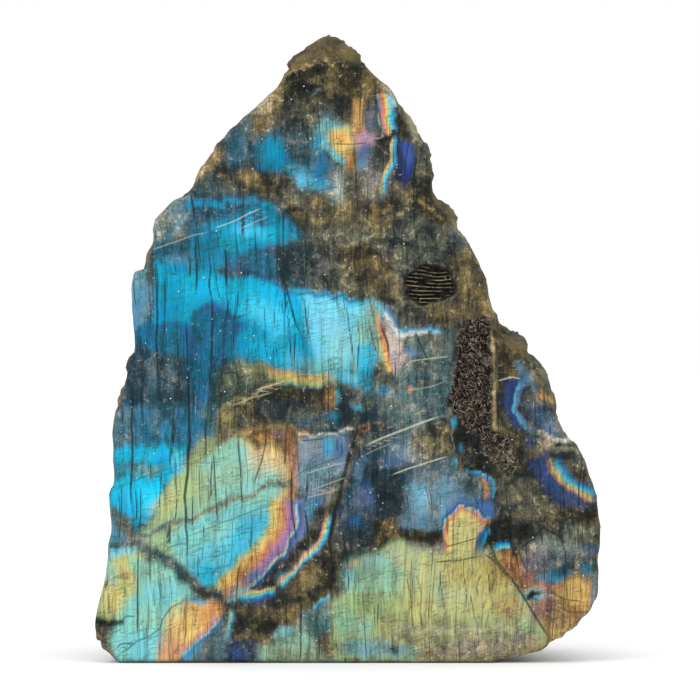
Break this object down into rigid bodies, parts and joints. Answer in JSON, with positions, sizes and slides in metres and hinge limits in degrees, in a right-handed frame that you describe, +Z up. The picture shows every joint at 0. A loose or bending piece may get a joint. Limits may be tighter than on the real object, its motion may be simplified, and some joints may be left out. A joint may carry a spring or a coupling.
{
  "type": "semi-polished labradorite chunk",
  "caption": "Free-standing chunk of labradorite with a flat sawn base, one ground and polished face with a blue, green and gold sheen, and rough natural sides and back.",
  "frame": {"origin": "middle of the bounding box on the sawn underside", "axes": "+Z up from the sawn base to the tip, -Y out of the polished face, +X to the right when facing the polished face"},
  "size_m": [0.102, 0.0392, 0.1258],
  "materials": {
    "labradorite": "polished face with a coloured sheen, matt broken sides and back"
  },
  "bodies": {
    "root": {"labradorite_chunk": "labradorite"}
  },
  "joints": []
}
